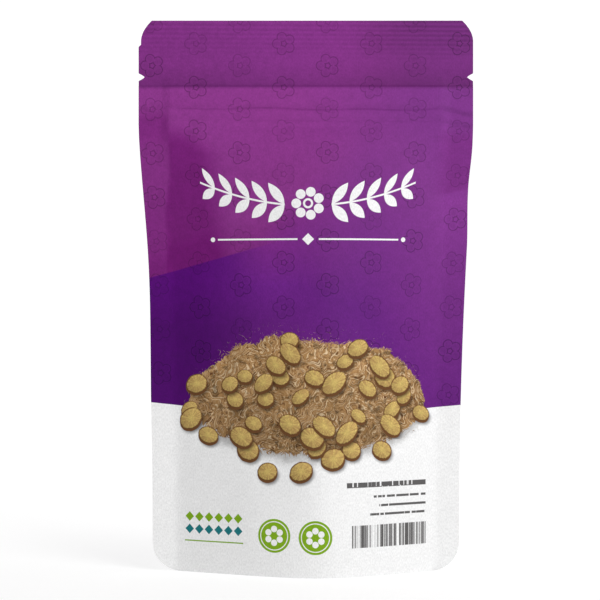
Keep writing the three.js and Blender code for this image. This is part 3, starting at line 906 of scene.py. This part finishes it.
def purple_field(u, v, inks, sizes):
    """The printed field: its colours with their painted light and shade, flowers and clouding, painted
    shade under the zip's tracks and painted light and shade on the top weld's ribs.
    """
    field = colour_field(u, v, inks)
    clouds = noise(vector(u, 0.8 * v, 6.0), 0.4, 4.0, 0.75) - 0.5
    clouded = (0.36 + 0.12 * ramp(u, 30, -50)) * clouds
    # Painted light and shade on the top weld's ribs
    painted_ribs = (0.07 + 0.07 * ramp(u, 15, 55)) * rib_shading(u, v, sizes)
    # The flowers' print, and painted shade under the zip's tracks
    marks = (1 - 0.45 * flower_lattice(u, v)) * (1 - zip_track_shade(u, v))
    return toned(field, marks * (1 + clouded + painted_ribs))


def white_foot(u, v):
    """Above zero in the unprinted lower part, whose upper edge dips in the middle."""
    half_width, height = 76, 75.8
    share = u / half_width
    return height - 0.65 * share + 3.8 * share * share - v


def front_print(u, v, inks, sizes):
    paint = purple_field(u, v, inks, sizes)
    paint = shade(paint, inks.paper, laurel(u, v))
    paint = shade(paint, inks.paper, white_foot(u, v).inked())
    for picture in (slice_picture, badges, diamond_strip, ruled_notes):
        paint = picture(paint, u, v, inks)
    return paint


def back_print(u, v, inks, sizes):
    paint = purple_field(u, v, inks, sizes)
    paint = shade(paint, inks.paper, white_foot(u, v).inked())
    return label_panel(paint, u, v, inks)


def plain_white(u, v, inks):
    cloudy_white = (0.78, 0.78, 0.77)
    return shade(inks.paper, cloudy_white, noise(vector(u, v), 0.08, 2.0) * 0.4)


# Materials


def new_material(name):
    material = bpy.data.materials.new(name)
    material.use_nodes = True
    return material, material.node_tree.nodes["Principled BSDF"]


def film_places(shader):
    """The film's own coordinates in millimetres: across from the middle line, and up."""
    node = shader.id_data.nodes.new("ShaderNodeUVMap")
    node.uv_map = "film"
    return split(node.outputs[0])[:2]


def object_place(shader):
    return shader.id_data.nodes.new("ShaderNodeTexCoord").outputs["Object"]


def raised(height, distance, strength=1.0):
    """The normal of a surface with fine relief."""
    bump = height.tree.nodes.new("ShaderNodeBump")
    fill(bump, {"Strength": strength, "Distance": distance, "Height": height})
    return bump.outputs[0]


def film_material(name, film_print, *values):
    """Matte laminate over a print: fine fibres, soft mottling and a dull sheen."""
    material, shader = new_material(name)
    u, v = film_places(shader)
    fibre = noise(vector(u, v * 0.55), 1.6, 4.0, 0.65)
    mottle = noise(vector(u, v, 9.0), 0.22, 3.0, 0.9)
    streaks = noise(vector(u * 0.3, v), 4.5, 2.0)
    fill(shader, {
        "Base Color": toned(film_print(u, v, *values), 0.62 + 0.60 * fibre + 0.16 * mottle),
        "Roughness": 0.46 + 0.14 * fibre + 0.06 * mottle,
        "Normal": raised(fibre + 0.6 * streaks, 0.06 * MM, 0.25),
        "Specular IOR Level": 0.08,
    })
    return material


def milky_plastic():
    """The zip's polyethylene: milky, with faint draw lines along its length."""
    material, shader = new_material("milky_plastic")
    milky, pale = (0.80, 0.80, 0.78), (0.90, 0.90, 0.89)
    stretch = shader.id_data.nodes.new("ShaderNodeMapping")
    fill(stretch, {"Vector": object_place(shader), "Scale": (60, 4000, 4000)})
    lines = noise(stretch.outputs[0], 1.0, 3.0)
    fill(shader, {
        "Base Color": shade(milky, pale, lines),
        "Roughness": 0.22 + 0.2 * lines,
        "Subsurface Weight": 0.3,
        "Subsurface Radius": (1 * MM, 1 * MM, 1 * MM),
    })
    return material


def dried_root(inks):
    """Cut root: fibrous tan and yellow flesh with flecks of brown bark."""
    material, shader = new_material("dried_root")
    spot = object_place(shader)
    chips = shader.id_data.nodes.new("ShaderNodeTexVoronoi")
    fill(chips, {"Vector": spot, "Scale": 260})
    which, _, _ = three_draws(chips.outputs["Color"])
    fibre = noise(spot, 1500, 4.0, 0.7)
    paint = shade(inks.tan, inks.flesh, ramp(which, 0.35, 0.6))
    paint = shade(paint, inks.bark, ramp(which, 0.8, 0.85))
    fill(shader, {
        "Base Color": toned(paint, 0.55 + 0.9 * fibre),
        "Roughness": 0.8 + 0.2 * fibre,
        "Normal": raised(fibre - Mark(chips.outputs["Distance"]), 0.6 * MM),
    })
    return material


def paper_sweep(floor_colour, glow):
    """The studio's paper, lit through from behind, and a little more so beyond the pouch."""
    material, shader = new_material("paper_sweep")
    spot = object_place(shader)
    _, back, _ = split(spot)
    beyond = ramp(back, -0.05, 0.20)
    grain = noise(spot, 900, 3.0)
    fill(shader, {
        "Base Color": shade([0.985 * part for part in floor_colour], floor_colour, grain),
        "Emission Strength": (0.84 + 0.16 * beyond) * glow,
        "Emission Color": (1, 1, 1, 1),
        "Roughness": 0.9,
    })
    return material


# Pieces


def settle(piece, node, material):
    """Give a film its material, attach it to the root body and hide the solid part that it dresses."""
    piece.data.materials.append(material)
    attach(piece, "root")
    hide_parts(node)


def film_panel(sizes, name, side, node, material):
    """Build the front panel (side -1) or the back panel (side 1)."""
    form = PouchForm(sizes)
    u = film_columns(form, PANEL_STEPS)[None, :]
    z = film_rows(sizes)[:, None]
    outer, inner = form.panel(side, u, z)
    flat = np.stack([arc_across(outer), np.broadcast_to(z, outer.shape[:2])], -1) / MM
    if side > 0:
        flat[..., 0] *= -1
    piece = closed_film(name, outer, inner, flat, side > 0)
    settle(piece, node, material)


def coat(node, material):
    """Give a part of the solid model its material."""
    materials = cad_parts[node].data.materials
    materials.clear()
    materials.append(material)


class POUCH_OT_panels(Operator):
    """Build the printed front and back panels"""

    bl_idname = "pouch.panels"
    bl_label = "Front and back panels"

    def execute(self, context):
        sizes = context.scene.pouch_sizes
        inks = context.scene.pouch_inks
        front = film_material("front_print", front_print, inks, sizes)
        film_panel(sizes, "front_film", -1, "front_panel", front)
        back = film_material("back_print", back_print, inks, sizes)
        film_panel(sizes, "back_film", 1, "back_panel", back)
        return {"FINISHED"}


class POUCH_OT_gusset(Operator):
    """Build the folded bottom gusset"""

    bl_idname = "pouch.gusset"
    bl_label = "Bottom gusset"

    def execute(self, context):
        sizes = context.scene.pouch_sizes
        form = PouchForm(sizes)
        u = film_columns(form, GUSSET_STEPS)[None, :]
        upper = form.gusset(u, 0)
        lower = form.gusset(u, sizes.film)
        down = np.linalg.norm(np.diff(upper, axis=0), axis=2)
        along = np.concatenate([np.zeros((1, upper.shape[1])), np.cumsum(down, 0)])
        flat = np.stack([np.broadcast_to(u, along.shape), along], -1) / MM
        piece = closed_film("gusset_film", upper, lower, flat, False)
        material = film_material("white_film", plain_white, context.scene.pouch_inks)
        settle(piece, "bottom_gusset", material)
        return {"FINISHED"}


class POUCH_OT_zip(Operator):
    """Finish the two zip strips"""

    bl_idname = "pouch.zip"
    bl_label = "Zip strips"

    def execute(self, context):
        material = milky_plastic()
        for node in ("zip_socket_strip", "zip_rib_strip"):
            coat(node, material)
        return {"FINISHED"}


class POUCH_OT_contents(Operator):
    """Finish the heap of dried cut root"""

    bl_idname = "pouch.contents"
    bl_label = "Root fill"

    def execute(self, context):
        coat("root_fill", dried_root(context.scene.pouch_inks))
        return {"FINISHED"}


class POUCH_OT_stage(Operator):
    """Set the floor, the lights and the camera"""

    bl_idname = "pouch.stage"
    bl_label = "Stage"

    def execute(self, context):
        stage = context.scene.pouch_stage
        self.sweep(context, stage)
        self.key_lamp(context, stage)
        self.sky(context, stage.sky)
        self.camera(context, stage)
        context.scene.view_settings.view_transform = "Standard"
        return {"FINISHED"}

    @staticmethod
    def sweep(context, stage):
        """Floor paper that curves up into a backdrop."""
        front, back, radius, height, half_width = -1.6, 1.2, 0.5, 1.6, 2.4
        path = [(front, 0.0)]
        for angle in np.linspace(0, math.pi / 2, 17):
            path.append((back + radius * math.sin(angle), radius * (1 - math.cos(angle))))
        path.append((back + radius, height))
        points = [(x, y, z) for y, z in path for x in (-half_width, half_width)]
        faces = [(i, i + 1, i + 3, i + 2) for i in range(0, 2 * len(path) - 2, 2)]
        mesh = bpy.data.meshes.new("paper_sweep")
        mesh.from_pydata(points, [], faces)
        mesh.shade_smooth()
        mesh.materials.append(paper_sweep(stage.floor, stage.glow))
        floor = bpy.data.objects.new("paper_sweep", mesh)
        context.scene.collection.objects.link(floor)

    @staticmethod
    def key_lamp(context, stage):
        """A large soft lamp that points at the pouch."""
        light = bpy.data.lights.new("key", "AREA")
        light.shape = "DISK"
        light.size = stage.key_size
        light.energy = stage.key
        lamp = bpy.data.objects.new("key", light)
        lamp.location = KEY_PLACE
        towards = Vector((0, 0, POUCH_HEIGHT / 2)) - lamp.location
        lamp.rotation_euler = towards.to_track_quat("-Z", "Y").to_euler()
        context.scene.collection.objects.link(lamp)

    @staticmethod
    def sky(context, strength):
        world = context.scene.world or bpy.data.worlds.new("sky")
        context.scene.world = world
        world.use_nodes = True
        fill(world.node_tree.nodes["Background"], {"Color": (1, 1, 1, 1), "Strength": strength})

    @staticmethod
    def camera(context, stage):
        lens = bpy.data.cameras.new("camera")
        lens.lens = lens.sensor_width * stage.camera_distance / stage.frame_width
        camera = bpy.data.objects.new("camera", lens)
        camera.location = (stage.camera_side, -stage.camera_distance, stage.camera_height)
        camera.rotation_euler = (math.pi / 2, 0, 0)
        context.scene.collection.objects.link(camera)
        context.scene.camera = camera


class POUCH_PT_maker(Panel):
    """Sidebar panel that lists the pouch's pieces and values"""

    bl_idname = "POUCH_PT_maker"
    bl_label = "Stand-up pouch"
    bl_space_type = "VIEW_3D"
    bl_region_type = "UI"
    bl_category = "Pouch"

    def draw(self, context):
        for operator in OPERATORS:
            self.layout.operator(operator.bl_idname)
        for name in GROUPS:
            group = getattr(context.scene, name)
            box = self.layout.box()
            for value in group.__annotations__:
                box.prop(group, value)


GROUPS = {"pouch_sizes": PouchSizes, "pouch_inks": PouchInks, "pouch_stage": PouchStage}
OPERATORS = (
    POUCH_OT_panels,
    POUCH_OT_gusset,
    POUCH_OT_zip,
    POUCH_OT_contents,
    POUCH_OT_stage,
)
CLASSES = (*GROUPS.values(), *OPERATORS, POUCH_PT_maker)


def register():
    for cls in CLASSES:
        bpy.utils.register_class(cls)
    for name, group in GROUPS.items():
        setattr(bpy.types.Scene, name, PointerProperty(type=group))


def unregister():
    for name in GROUPS:
        delattr(bpy.types.Scene, name)
    for cls in reversed(CLASSES):
        bpy.utils.unregister_class(cls)


def main():
    register()
    bpy.ops.pouch.panels()
    bpy.ops.pouch.gusset()
    bpy.ops.pouch.zip()
    bpy.ops.pouch.contents()
    bpy.ops.pouch.stage()


if __name__ == "__main__":
    main()
